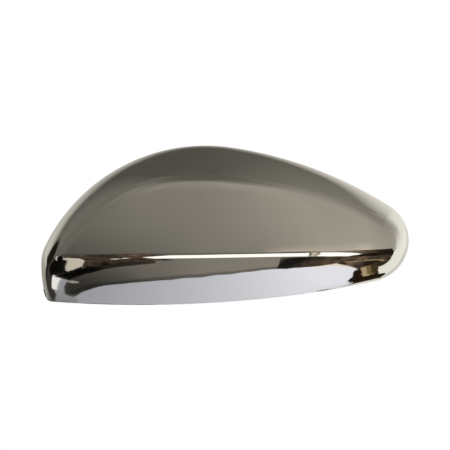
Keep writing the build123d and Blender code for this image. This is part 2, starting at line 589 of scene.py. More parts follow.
@dataclass
class CoverShell:
    """The plated shell: outer and inner skin, the back rim and the lower edge, all one mesh."""

    wall: float = WALL
    bevel: float = 0.45
    bevel_steps: int = 4
    outer_rows: int = 200
    inner_rows: int = 48
    column_count: int = 340
    edge: LowerEdge = field(default_factory=LowerEdge)

    def build(self) -> bpy.types.Object:
        """Builds the shell.

        Returns:
            The closed shell, with its grades of plating by face.
        """
        outer = SkinSweep(Skin(), self.edge, self.bevel)
        inner = SkinSweep(Skin(inset=self.wall), self.edge, self.bevel)
        beta = outer.columns(self.column_count)
        book = MeshBook()
        outside = self.add_skin(book, *outer.grid(self.outer_rows, beta))
        inside_points, inside_normals = inner.grid(self.inner_rows, beta)
        inside = self.add_skin(book, inside_points, -inside_normals)
        book.quads(outside, Polish.SHOW)
        book.quads(inside, Polish.BACK, flip=True)
        backward = np.broadcast_to([0.0, 1.0, 0.0], (len(beta), 3))
        rim = self.strip(book, outside[-1], inside[-1], backward)
        middle_x = np.concatenate(book.points)[outside[0], 0]
        low = self.strip(book, outside[0], inside[0], self.edge.downward(middle_x))
        book.quads(rim, Polish.SHOW)
        book.quads(low, Polish.SHOW, flip=True)
        for end, flip in ((0, True), (-1, False)):
            book.quads(np.stack([low[:, end], rim[:, end]]), Polish.SHOW, flip=flip)
        return book.make("cover_shell")

    def add_skin(self, book: MeshBook, points: Array, normals: Array) -> Array:
        """Adds a skin's grid, with one shared vertex at each end.

        Args:
            book: The mesh being put together.
            points: The grid's points.
            normals: Their normals.

        Returns:
            The grid's indices.
        """
        grid = book.add(points, normals)
        grid[:, 0] = grid[0, 0]
        grid[:, -1] = grid[0, -1]
        return grid

    def strip(self, book: MeshBook, outside: Array, inside: Array, outward: Array) -> Array:
        """Adds the rounded edge between the two skins.

        Args:
            book: The mesh being put together.
            outside: Indices along the outer skin's border.
            inside: Indices along the inner skin's border.
            outward: Unit normals of the cut face at each index.

        Returns:
            An index grid from the outer border to the inner one.
        """
        points, normals = np.concatenate(book.points), np.concatenate(book.normals)
        rings = []
        for border in (outside, inside):
            along_cut = np.sum(normals[border] * outward, axis=-1, keepdims=True)
            away = unit(normals[border] - outward * along_cut)
            for turn in np.linspace(0.0, math.pi / 2, self.bevel_steps + 1)[1:]:
                lean = math.cos(turn) * away + math.sin(turn) * outward
                rings.append(book.add(points[border] + self.bevel * (lean - away), lean))
        outer, inner = rings[: self.bevel_steps], rings[self.bevel_steps :]
        return np.stack([outside, *outer, *reversed(inner), inside])

    def dress(
        self, piece: bpy.types.Object, show: bpy.types.Material, back: bpy.types.Material
    ) -> None:
        """Gives the shell its polished outside and its duller inside."""
        piece.data.materials.append(show)
        piece.data.materials.append(back)


@dataclass
class Seating:
    """The node tree that sets copies of one fitting on stations and runs their roots into the shell."""

    name: str = "seat_on_shell"
    ray_start: float = 10.0
    ray_reach: float = 200.0
    ray_way: Triple = (0.0, -1.0, 0.0)

    def tree(self) -> bpy.types.NodeTree:
        """Builds the tree.

        Returns:
            A Geometry Nodes tree with inputs for the fitting, the shell's middle skin, the turn of
            the copies about Y, the line in front of which a vertex is part of a root, the root's
            own plane, and the finish.
        """
        sheet = NodeSheet(bpy.data.node_groups.new(self.name, "GeometryNodeTree"))
        inputs = {
            "Stations": "Geometry",
            "Fitting": "Object",
            "Middle Skin": "Object",
            "Turn": "Float",
            "Root Line": "Float",
            "Root Plane": "Float",
            "Finish": "Material",
        }
        sheet.sockets("INPUT", inputs)
        sheet.sockets("OUTPUT", {"Fittings": "Geometry"})
        given = sheet.add("NodeGroupInput")
        seated = self.seated(sheet, given, self.copies(sheet, given))
        finish = sheet.add(
            "GeometryNodeSetMaterial", {"Geometry": seated, "Material": given.outputs["Finish"]}
        )
        sheet.add("NodeGroupOutput", {"Fittings": finish.outputs["Geometry"]})
        return sheet.tree

    def copies(self, sheet: NodeSheet, given: bpy.types.Node) -> bpy.types.NodeSocket:
        """Puts a copy of the fitting on each station.

        Args:
            sheet: The tree.
            given: The tree's input node.

        Returns:
            The socket with the realized copies.
        """
        fitting = sheet.add("GeometryNodeObjectInfo", {"Object": given.outputs["Fitting"]})
        turn = sheet.add("ShaderNodeCombineXYZ", {"Y": given.outputs["Turn"]})
        rotation = sheet.add("FunctionNodeEulerToRotation", {"Euler": turn.outputs["Vector"]})
        stretch = sheet.add(
            "GeometryNodeInputNamedAttribute", {"Name": "stretch"}, data_type="FLOAT_VECTOR"
        )
        inputs = {
            "Points": given.outputs["Stations"],
            "Instance": fitting.outputs["Geometry"],
            "Rotation": rotation.outputs["Rotation"],
            "Scale": stretch.outputs["Attribute"],
        }
        spread = sheet.add("GeometryNodeInstanceOnPoints", inputs)
        realized = sheet.add("GeometryNodeRealizeInstances", {"Geometry": spread.outputs["Instances"]})
        return realized.outputs["Geometry"]

    def seated(
        self, sheet: NodeSheet, given: bpy.types.Node, copies: bpy.types.NodeSocket
    ) -> bpy.types.NodeSocket:
        """Moves the copies' root vertices forwards or back onto the shell's middle skin.

        Args:
            sheet: The tree.
            given: The tree's input node.
            copies: The socket with the realized copies.

        Returns:
            The socket with the seated fittings.
        """
        skin = sheet.add("GeometryNodeObjectInfo", {"Object": given.outputs["Middle Skin"]})
        place = sheet.add("GeometryNodeInputPosition")
        parts = sheet.add("ShaderNodeSeparateXYZ", {"Vector": place.outputs["Position"]})
        x, y, z = parts.outputs
        start = sheet.add("ShaderNodeCombineXYZ", {"X": x, "Y": self.ray_start * MM, "Z": z})
        inputs = {
            "Target Geometry": skin.outputs["Geometry"],
            "Source Position": start.outputs["Vector"],
            "Ray Direction": self.ray_way,
            "Ray Length": self.ray_reach * MM,
        }
        ray = sheet.add("GeometryNodeRaycast", inputs)
        root = sheet.add(
            "FunctionNodeCompare",
            {0: y, 1: given.outputs["Root Line"]},
            data_type="FLOAT",
            operation="LESS_THAN",
        )
        chosen = sheet.add(
            "FunctionNodeBooleanMath", {0: root.outputs["Result"], 1: ray.outputs["Is Hit"]}
        )
        above = sheet.add(
            "ShaderNodeMath", {0: y, 1: given.outputs["Root Plane"]}, operation="SUBTRACT"
        )
        raised = sheet.add("ShaderNodeCombineXYZ", {"Y": above.outputs["Value"]})
        inputs = {
            "Geometry": copies,
            "Selection": chosen.outputs["Boolean"],
            "Position": ray.outputs["Hit Position"],
            "Offset": raised.outputs["Vector"],
        }
        return sheet.add("GeometryNodeSetPosition", inputs).outputs["Geometry"]


@dataclass
class FittingSolid:
    """Closed mesh parts of one fitting, in millimetres, before it is copied to its stations."""

    name: str
    shape: bmesh.types.BMesh = field(default_factory=bmesh.new)
    sharp_turn: float = 40.0

    def close(self, rings: list[list[bmesh.types.BMVert]]) -> None:
        """Joins rings of vertices into a closed solid.

        Args:
            rings: The rings in order, all with the same number of vertices.
        """
        for first, second in zip(rings, rings[1:]):
            for place in range(len(first)):
                self.shape.faces.new((first[place - 1], first[place], second[place], second[place - 1]))
        self.shape.faces.new(reversed(rings[0]))
        self.shape.faces.new(rings[-1])

    def prism(self, outline: list[Triple], way: Triple, rows: int = 1) -> None:
        """Adds a prism.

        Args:
            outline: The corners of one end.
            way: The step from that end to the other.
            rows: How many rows its sides are divided into.
        """
        step = Vector(way) / rows
        rings = []
        for row in range(rows + 1):
            rings.append([self.shape.verts.new(Vector(corner) + step * row) for corner in outline])
        self.close(rings)

    def turned(self, profile: list[Span], segments: int) -> None:
        """Adds a round solid about the Y axis.

        Args:
            profile: The radius and the y of each ring.
            segments: The number of vertices in a ring.
        """
        angles = [2 * math.pi * step / segments for step in range(segments)]
        rings = []
        for radius, y in profile:
            ring = [(radius * math.cos(angle), y, radius * math.sin(angle)) for angle in angles]
            rings.append([self.shape.verts.new(corner) for corner in ring])
        self.close(rings)

    def soften(self, radius: float, steps: int = 2) -> None:
        """Rounds every edge drawn so far."""
        edges = self.shape.edges[:]
        bmesh.ops.bevel(
            self.shape, geom=edges, offset=radius, segments=steps, profile=0.5, affect="EDGES"
        )

    def order_faces(self) -> None:
        """Lists the faces by their vertices, because bevelling lists them in no fixed order."""
        self.shape.verts.index_update()
        count = len(self.shape.verts)

        def rank(face: bmesh.types.BMFace) -> int:
            """Returns a number that grows with a face's three lowest vertices."""
            first, second, third = sorted(vertex.index for vertex in face.verts)[:3]
            return (first * count + second) * count + third

        self.shape.faces.sort(key=rank)
        self.shape.faces.index_update()

    def make(self) -> bpy.types.Object:
        """Makes the fitting's mesh, in metres, facing outwards.

        Returns:
            The fitting as an object.
        """
        self.order_faces()
        bmesh.ops.recalc_face_normals(self.shape, faces=self.shape.faces[:])
        for face in self.shape.faces:
            face.smooth = True
        for edge in self.shape.edges:
            edge.smooth = edge.calc_face_angle(0.0) < math.radians(self.sharp_turn)
        bmesh.ops.scale(self.shape, vec=(MM, MM, MM), verts=self.shape.verts[:])
        mesh = bpy.data.meshes.new(self.name)
        self.shape.to_mesh(mesh)
        self.shape.free()
        return put_in_scene(self.name, mesh)


@dataclass
class InnerFittings:
    """The pegs, snap hooks and ribs inside the cover, all seated in the middle of its wall."""

    wall: float = WALL
    depth: float = DEPTH
    edge_softness: float = 0.3
    peg_spacing: float = 116.0
    peg_radius: float = 3.0
    peg_tip: float = 12.0
    boss_radius: float = 5.0
    gusset_width: float = 26.0
    gusset_thickness: float = 2.0
    gusset_back: float = 24.0
    roof_hook_x: tuple[float, ...] = (-62.0, 0.0, 62.0)
    roof_hook_drop: float = 17.5
    lower_hook_x: tuple[float, ...] = (-74.0, 0.0, 60.0)
    lower_hook_rise: float = 9.0
    hook_width: float = 12.0
    hook_thickness: float = 2.0
    hook_back: float = 7.0
    hook_nose: float = 2.4
    hook_nose_length: float = 7.0
    hook_catch: float = 1.2
    hook_rib_height: float = 5.0
    hook_rib_thickness: float = 1.6
    rib_x: tuple[float, ...] = (-31.0, 31.0)
    rib_thickness: float = 1.6
    rib_height: float = 5.0
    rib_back: float = 14.0
    rib_edge_gap: float = 4.0
    rib_rows: int = 48
    rib_step: float = 0.25
    peg_segments: int = 48
    tip_lead: float = 2.5
    tip_share: float = 0.6
    corner_share: float = 0.3
    root_margin: float = 1.0
    skin_rows: int = 60
    skin_columns: int = 180
    edge: LowerEdge = field(default_factory=LowerEdge)
    middle: Skin = field(init=False)

    def __post_init__(self) -> None:
        """Sets up the skin in the middle of the wall, where the roots end."""
        self.middle = Skin(inset=self.wall / 2)

    def edge_z(self, x: float) -> float:
        """Returns the height of the lower edge at a place along the cover."""
        return float(self.edge.height(np.float64(x)))

    def build(self, finish: bpy.types.Material) -> list[bpy.types.Object]:
        """Builds the fittings.

        Args:
            finish: The plating that they all have.

        Returns:
            One piece for the pegs, one for each row of hooks and one for the ribs.
        """
        sweep = SkinSweep(self.middle, self.edge, 0.0)
        book = MeshBook()
        grid = book.add(*sweep.grid(self.skin_rows, sweep.columns(self.skin_columns)))
        book.quads(grid, Polish.BACK)
        skin = book.make("middle_skin")
        tree = Seating().tree()
        hook, peg, rib = self.hook(), self.peg(), self.rib()
        roof = [(x, self.middle.rim.top(x) - self.roof_hook_drop, 1.0) for x in self.roof_hook_x]
        low = [(x, self.edge_z(x) + self.lower_hook_rise, 1.0) for x in self.lower_hook_x]
        pegs = [(side * self.peg_spacing / 2, 0.0, 1.0) for side in (-1, 1)]
        ribs = []
        for x in self.rib_x:
            bottom, top = self.rib_span(x)
            ribs.append((x, (bottom + top) / 2, top - bottom))
        jobs = (
            ("locating_pegs", peg, pegs, 0.0, self.root_margin),
            ("roof_hooks", hook, roof, HookRow.ROOF.value, self.root_margin),
            ("lower_hooks", hook, low, HookRow.LOWER.value, self.root_margin),
            ("face_ribs", rib, ribs, 0.0, self.rib_height + self.wall),
        )
        pieces = []
        for name, fitting, stations, turn, root in jobs:
            values = {
                "Fitting": fitting,
                "Middle Skin": skin,
                "Turn": math.radians(turn),
                "Root Line": (root - self.depth) * MM,
                "Root Plane": -self.depth * MM,
                "Finish": finish,
            }
            pieces.append(self.seat(name, stations, tree, values))
        for helper in (skin, hook, peg, rib):
            bpy.data.objects.remove(helper)
        return pieces

    def seat(
        self,
        name: str,
        stations: list[Triple],
        tree: bpy.types.NodeTree,
        values: dict[str, object],
    ) -> bpy.types.Object:
        """Runs the seating tree on some stations.

        Args:
            name: The finished piece's name.
            stations: The x, the z and the stretch along z of each copy.
            tree: The seating tree.
            values: The tree's inputs by name.

        Returns:
            The seated fittings as one plain mesh.
        """
        mesh = bpy.data.meshes.new(name)
        mesh.from_pydata([(x * MM, 0.0, z * MM) for x, z, _ in stations], [], [])
        stretch = mesh.attributes.new("stretch", "FLOAT_VECTOR", "POINT")
        for point, (_, _, tall) in zip(stretch.data, stations):
            point.vector = (1.0, 1.0, tall)
        piece = put_in_scene(name, mesh)
        modifier = piece.modifiers.new("seat", "NODES")
        modifier.node_group = tree
        for item in tree.interface.items_tree:
            if item.in_out == "INPUT" and item.name in values:
                modifier[item.identifier] = values[item.name]
        graph = bpy.context.evaluated_depsgraph_get()
        made = bpy.data.meshes.new_from_object(piece.evaluated_get(graph), depsgraph=graph)
        piece.modifiers.remove(modifier)
        piece.data = made
        made.name = name
        return piece

    def rib_span(self, x: float) -> tuple[float, float]:
        """Finds where a rib starts above the lower edge and ends under the roof.

        Args:
            x: The rib's place along the cover.

        Returns:
            The heights of its two ends.
        """
        low = self.edge_z(x) + self.rib_edge_gap
        high = low
        least = -self.rib_back - self.rib_height - self.wall
        while self.middle.depth_at(x, high + self.rib_step) < least:
            high += self.rib_step
        return low, high

    def hook(self) -> bpy.types.Object:
        """Makes a snap hook: a tongue with a sloped nose at its back end and a web under it.

        Returns:
            The hook, which points along +Y with its nose up.
        """
        thick, nose, web_thick = self.hook_thickness, self.hook_nose, self.hook_rib_thickness
        front, back = -self.depth, -self.hook_back
        catch = back - self.hook_nose_length
        side = [
            (front, -thick),
            (front, 0.0),
            (catch, 0.0),
            (catch, nose),
            (catch + self.hook_catch, nose),
            (back, 0.0),
            (back, -thick),
        ]
        web = [
            (catch, -thick / 2),
            (front, -thick / 2),
            (front, -thick - self.hook_rib_height),
            (catch, -thick),
        ]
        solid = FittingSolid("hook")
        for outline, width in ((side, self.hook_width), (web, web_thick)):
            solid.prism([(-width / 2, y, z) for y, z in outline], (width, 0.0, 0.0))
        solid.soften(self.edge_softness)
        return solid.make()

    def peg(self) -> bpy.types.Object:
        """Makes a locating peg: a round tip on a boss with crossed gussets.

        Returns:
            The peg, which points along +Y.
        """
        tip, boss, soft = self.peg_radius, self.boss_radius, self.edge_softness
        step, lead, worn = -self.peg_tip, self.tip_lead * soft, self.corner_share * soft
        solid = FittingSolid("peg")
        wide, thin = self.gusset_width / 2, self.gusset_thickness / 2
        for across, up in ((wide, thin), (thin, wide)):
            corners = [(-across, -up), (across, -up), (across, up), (-across, up)]
            foot = [(x, -self.depth, z) for x, z in corners]
            solid.prism(foot, (0.0, self.depth - self.gusset_back, 0.0))
        solid.soften(soft)
        profile = [
            (tip - lead, 0.0),
            (tip - soft, -self.tip_share * soft),
            (tip, -lead),
            (tip, step + soft),
            (tip + soft, step),
            (boss - soft, step),
            (boss - worn, step - worn),
            (boss, step - soft),
            (boss, -self.depth),
        ]
        solid.turned(profile, self.peg_segments)
        return solid.make()

    def rib(self) -> bpy.types.Object:
        """Makes a slice of a rib, 1 mm tall, which the tree stretches to the rib's height.

        Returns:
            The slice, with its long edges along Z.
        """
        half, soft = self.rib_thickness / 2, self.edge_softness
        worn = self.corner_share * soft
        tall = self.rib_height + self.wall / 2 - self.depth
        near = [
            (half, -self.depth),
            (half, tall - soft),
            (half - worn, tall - worn),
            (half - soft, tall),
        ]
        far = [(-x, y) for x, y in reversed(near)]
        corners = [far[-1], *near, *far[:-1]]
        solid = FittingSolid("rib")
        solid.prism([(x, y, -0.5) for x, y in corners], (0.0, 0.0, 1.0), rows=self.rib_rows)
        return solid.make()


@dataclass(frozen=True)
class ChromePlating:
    """Bright metal plating, with the faint smudges and ripple that a moulding's plating has."""

    name: str
    color: Triple = (0.80, 0.80, 0.79)
    roughness: float = 0.03
    smudge: float = 0.03
    ripple: float = 0.02

    def material(self, haze: bpy.types.NodeTree) -> bpy.types.Material:
        """Builds the material.

        Args:
            haze: The shared group that gives smudges and ripple.

        Returns:
            The finished material.
        """
        made = bpy.data.materials.new(self.name)
        made.use_nodes = True
        sheet = NodeSheet(made.node_tree)
        place = sheet.add("ShaderNodeTexCoord")
        group = sheet.add(
            "ShaderNodeGroup",
            {"Place": place.outputs["Object"], "Roughness": self.roughness, "Smudge": self.smudge},
            node_tree=haze,
        )
        bump = sheet.add(
            "ShaderNodeBump",
            {"Strength": self.ripple, "Distance": MM, "Height": group.outputs["Ripple"]},
        )
        inputs = {
            "Metallic": 1.0,
            "Base Color": (*self.color, 1.0),
            "Roughness": group.outputs["Roughness"],
            "Normal": bump.outputs["Normal"],
        }
        sheet.feed(made.node_tree.nodes["Principled BSDF"], inputs)
        return made


@dataclass(frozen=True)
class PlatingHaze:
    """The smudges and the ripple that both grades of plating share."""

    name: str = "plating_haze"
    cloud_scale: float = 22.0
    cloud_detail: float = 4.0
    smudge_from: float = 0.45
    smudge_to: float = 0.75
    wave_scale: float = 90.0
    wave_detail: float = 1.0

    def group(self) -> bpy.types.NodeTree:
        """Builds the shader group.

        Returns:
            The group, which gives a roughness and a height.
        """
        sheet = NodeSheet(bpy.data.node_groups.new(self.name, "ShaderNodeTree"))
        sheet.sockets("INPUT", {"Place": "Vector", "Roughness": "Float", "Smudge": "Float"})
        sheet.sockets("OUTPUT", {"Roughness": "Float", "Ripple": "Float"})
        given = sheet.add("NodeGroupInput")
        place, roughness, smudge = (given.outputs[name] for name in ("Place", "Roughness", "Smudge"))
        inputs = {"Vector": place, "Scale": self.cloud_scale, "Detail": self.cloud_detail}
        cloud = sheet.add("ShaderNodeTexNoise", inputs)
        inputs = {"Vector": place, "Scale": self.wave_scale, "Detail": self.wave_detail}
        wave = sheet.add("ShaderNodeTexNoise", inputs)
        inputs = {
            "Value": cloud.outputs["Fac"],
            "From Min": self.smudge_from,
            "From Max": self.smudge_to,
        }
        rise = sheet.add("ShaderNodeMapRange", inputs)
        inputs = {0: rise.outputs["Result"], 1: smudge, 2: roughness}
        scaled = sheet.add("ShaderNodeMath", inputs, operation="MULTIPLY_ADD")
        inputs = {"Roughness": scaled.outputs["Value"], "Ripple": wave.outputs["Fac"]}
        sheet.add("NodeGroupOutput", inputs)
        return sheet.tree


def along(azimuth: Array, stations: Stations) -> Array:
    """Returns the value at each azimuth, on straight lines between the stations."""
    return np.interp(azimuth, *zip(*stations))


def hump(opens: Span, closes: Span, value: Array) -> Array:
    """Returns 1 between two spans and 0 outside them, with a smooth step over each."""
    return smooth_step(*opens, value) * (1 - smooth_step(*closes, value))


def to_light(tones: Array) -> Array:
    """Returns the light of tones out of 255, by the curve that screens have."""
    shown = np.clip(tones / 255.0, 0.0, None)
    return np.where(shown <= 0.04045, shown / 12.92, ((shown + 0.055) / 1.055) ** 2.4)


class Paper(Enum):
    """The two papers that cards are made of."""

    PLAIN = "card_plain"
    MOTTLED = "card_mottled"


@dataclass(frozen=True)
class Mottling:
    """The uneven glow of mottled paper, in upright streaks."""

    stretch: Triple = (1.0, 1.0, 0.22)
    scale: float = 0.5
    detail: float = 5.0
    roughness: float = 0.6
    cloud: Span = (0.36, 0.66)
    glow: Span = (0.25, 2.2)

    def strength(self, sheet: NodeSheet) -> bpy.types.NodeSocket:
        """Adds the nodes of the glow's strength.

        Args:
            sheet: The paper's node tree.

        Returns:
            The socket with the strength.
        """
        place = sheet.add("ShaderNodeTexCoord")
        inputs = {"Vector": place.outputs["Object"], "Scale": self.stretch}
        drawn = sheet.add("ShaderNodeMapping", inputs)
        inputs = {
            "Vector": drawn.outputs["Vector"],
            "Scale": self.scale,
            "Detail": self.detail,
            "Roughness": self.roughness,
        }
        cloud = sheet.add("ShaderNodeTexNoise", inputs)
        inputs = {
            "Value": cloud.outputs["Fac"],
            "From Min": self.cloud[0],
            "From Max": self.cloud[1],
            "To Min": self.glow[0],
            "To Max": self.glow[1],
        }
        return sheet.add("ShaderNodeMapRange", inputs).outputs["Result"]


@dataclass
class Card:
    """A glowing card far from the cover that only its reflections show: a piece of painted reflection,
    which glows though it is no lamp.

    Directions are azimuths, from 0 straight in front towards +X, and elevations, both in degrees.
    Tones are the values, out of 255, that the card shows in the plating.
    """

    name: str
    low: Stations
    high: Stations
    tone: Triple = (255.0, 255.0, 255.0)
    paper: Paper = Paper.PLAIN
    soft_sides: float = 0.0
    soft_low: float = 0.0
    soft_high: float = 0.0
    steps: tuple[int, int] = (120, 60)

    def tones(self, azimuth: Array, elevation: Array, above: Array) -> Array:
        """Returns the tone at each direction; plain cards have one tone all over."""
        return np.broadcast_to(np.array(self.tone), (*azimuth.shape, 3))

    def build(self, radius: float, plating: Triple) -> bpy.types.Object:
        """Makes the card.

        Args:
            radius: How far the card is from the cover, in metres.
            plating: The plating's own colour, which the tones are divided by.

        Returns:
            A patch of a sphere with its glow in a colour attribute.
        """
        start, stop = self.low[0][0], self.low[-1][0]
        across, up = (np.linspace(0.0, 1.0, count + 1) for count in self.steps)
        azimuth, share = np.meshgrid(start + (stop - start) * across, up)
        bottom, top = along(azimuth, self.low), along(azimuth, self.high)
        elevation = bottom + (top - bottom) * share
        turn, climb = np.radians(azimuth), np.radians(elevation)
        level = np.cos(climb)
        place = np.stack([np.sin(turn) * level, -np.cos(turn) * level, np.sin(climb)], axis=-1)
        light = to_light(self.tones(azimuth, elevation, elevation - bottom))
        cover = np.ones_like(azimuth)
        for soft, inward in (
            (self.soft_sides, np.minimum(azimuth - start, stop - azimuth)),
            (self.soft_low, elevation - bottom),
            (self.soft_high, top - elevation),
        ):
            if soft:
                cover = cover * smooth_step(0.0, soft, inward)
        # The painted tone is divided by the plating's colour, so that the plating shows that tone.
        glow = np.concatenate([light / np.array(plating), cover[..., None]], axis=-1)
        grid = np.arange(azimuth.size).reshape(azimuth.shape)
        mesh = bpy.data.meshes.new(self.name)
        mesh.from_pydata((place * radius).reshape(-1, 3).tolist(), [], grid_quads(grid))
        layer = mesh.attributes.new("glow", "FLOAT_COLOR", "POINT")
        layer.data.foreach_set("color", glow.reshape(-1).astype(np.float32))
        return put_in_scene(self.name, mesh)


@dataclass
class CeilingCard(Card):
    """The painted reflection of the room above: a warm grey ceiling, dark overhead, over the pale walls
    behind the cover, with painted shade along the walls' tops.

    A field that ends in sides gives the azimuths over which an effect sets in and fades out, and one
    that ends in above gives the elevations over which it sets in. Those of the tail are counted to
    the left, and those of the back from straight behind.
    """

    front: Stations = ((-38, 90), (-14, 106), (2, 119), (21, 130), (41, 154), (57, 158))
    climb: Stations = ((-20, 0.89), (2, 0.3), (24, 0.45), (36, 0.15), (46, -0.3))
    lift: Stations = ((12, -14), (20, 3), (27, 14), (34, 20), (42, 22))
    around: Stations = (
        (-180, 78.5), (-170, 76.5), (-158, 76), (-150.5, 104), (-80, 105), (-50, 92), (50, 150),
        (90, 143), (135, 130), (150, 115), (160, 103), (170, 87), (180, 78.5),
    )
    shade: Stations = ((60, 0), (67, 17), (94, 22), (117, 12), (135, 10), (150, 0))
    wall_top: Stations = (
        (-180, 33), (-165, 30.5), (-157, 25), (-152, 9), (60, 22), (66, 27.5), (77, 38), (94, 46),
        (117, 49), (145, 41), (160, 35.5), (180, 33),
    )
    wall_share: Stations = (
        (-156, 1), (-152, 0), (80, 0), (92, 0.22), (115, 0.58), (132, 0.92), (145, 1),
    )
    wall_tone: Stations = ((-180, 222), (-168, 210), (-158, 180), (60, 215), (180, 222))
    wall_fade: float = 5.5
    dark_from: Stations = ((0, 64), (15, 67), (26, 71), (80, 78), (100, 77), (135, 71))
    dark_edge: Span = (-12.0, 7.0)
    overhead: float = 87.0
    level: float = 45.0
    crest: float = 11.0
    crest_sides: tuple[Span, Span] = ((-60.0, -20.0), (12.0, 30.0))
    crest_above: Span = (40.0, 49.0)
    tail_climb: float = 0.6
    tail_sides: tuple[Span, Span] = ((60.0, 90.0), (110.0, 150.0))
    nose_fall: float = 0.5
    nose_sides: tuple[Span, Span] = ((140.0, 155.0), (164.0, 178.0))
    back_climb: float = 0.35
    back_sides: tuple[Span, Span] = ((-10.0, 5.0), (20.0, 35.0))
    back_from: float = 44.0
    back_most: float = 24.0
    front_opens: Span = (-75.0, -45.0)
    front_closes: Span = (56.0, 72.0)
    front_shift: float = 25.0
    front_shift_above: Span = (40.0, 60.0)
    corner_rise: float = 13.0
    corner_sides: tuple[Span, Span] = ((-125.0, -80.0), (-42.0, -26.0))
    corner_above: Span = (44.0, 66.0)
    shade_reach: float = 11.0
    low_wall: Span = (66.0, 86.0)
    low_wall_top: Span = (9.0, 27.0)
    tint: Triple = (1.0, 0.965, 0.88)
    wall_tint: Triple = (0.0, 0.02, 0.055)

    def tones(self, azimuth: Array, elevation: Array, above: Array) -> Array:
        """Blends the room's tone from its front, its sides, its walls and its top.

        Args:
            azimuth: The directions' azimuths.
            elevation: Their elevations.
            above: Their heights over the card's lower border; not used here.

        Returns:
            The tone in each direction.
        """
        ahead = along(azimuth, self.front) + along(azimuth, self.climb) * along(elevation, self.lift)
        crest = smooth_step(*self.crest_above, elevation) * hump(*self.crest_sides, azimuth)
        ahead = ahead + self.crest * crest
        higher = elevation - self.level
        tone = along(azimuth, self.around)
        tone = tone + self.tail_climb * higher * hump(*self.tail_sides, -azimuth)
        tone = tone - self.nose_fall * np.maximum(higher, 0.0) * hump(*self.nose_sides, azimuth)
        raised = np.clip(elevation - self.back_from, 0.0, self.back_most)
        tone = tone + self.back_climb * raised * hump(*self.back_sides, np.mod(azimuth, 360.0) - 180.0)
        shifted = azimuth + self.front_shift * smooth_step(*self.front_shift_above, elevation)
        facing = smooth_step(*self.front_opens, shifted) * (1 - smooth_step(*self.front_closes, azimuth))
        tone = tone + (ahead - tone) * facing
        corner = smooth_step(*self.corner_above, elevation) * hump(*self.corner_sides, azimuth)
        tone = tone + self.corner_rise * corner
        # Painted shade along the walls' tops.
        below = along(azimuth, self.wall_top) - elevation
        nearness = 1 - smooth_step(0.0, self.shade_reach, np.abs(below))
        tone = tone - along(azimuth, self.shade) * nearness
        share = along(azimuth, self.wall_share)
        low = smooth_step(*self.low_wall, azimuth) * (1 - smooth_step(*self.low_wall_top, elevation))
        lit = share * (1 - np.exp(-np.maximum(below, 0.0) / self.wall_fade)) + (1 - share) * low
        tone = tone + (along(azimuth, self.wall_tone) - tone) * lit
        over = elevation - along(np.abs(azimuth), self.dark_from)
        tone = tone + (self.overhead - tone) * smooth_step(*self.dark_edge, over)
        return tone[..., None] * (np.array(self.tint) + np.array(self.wall_tint) * lit[..., None])


@dataclass
class TableCard(Card):
    """The painted reflection of a pale table below, a cool grey that brightens towards the nose."""

    middle: float = 184.0
    per_degree: float = 1.7
    darkest: float = 146.0
    brightest: float = 224.0
    green_share: float = 1.002
    blue_more: float = 5.0

    def tones(self, azimuth: Array, elevation: Array, above: Array) -> Array:
        """Returns the table's tone by its distance to the right of straight down."""
        right = (90.0 + elevation) * np.sin(np.radians(azimuth))
        return self.cool(np.clip(self.middle + self.per_degree * right, self.darkest, self.brightest))

    def cool(self, tone: Array) -> Array:
        """Returns greys with a little more blue in them."""
        return np.stack([tone, tone * self.green_share, tone + self.blue_more], axis=-1)


@dataclass
class StripCard(Card):
    """A strip of the surroundings whose tone changes along it, with a darker lower border."""

    stations: Stations = ((-180, 128), (180, 128))
    tint: Triple = (1.0, 0.955, 0.87)
    border: float = 0.0
    border_share: float = 0.77
    border_edge: Span = (-0.5, 0.5)

    def tones(self, azimuth: Array, elevation: Array, above: Array) -> Array:
        """Finds the strip's tone along it, darker within its border.

        Args:
            azimuth: The directions' azimuths.
            elevation: Their elevations; not used here.
            above: Their heights over the strip's lower border.

        Returns:
            The tone in each direction.
        """
        tone = along(azimuth, self.stations)
        if self.border:
            inside = smooth_step(*self.border_edge, above - self.border)
            tone = tone * (self.border_share + (1 - self.border_share) * inside)
        return tone[..., None] * np.array(self.tint)


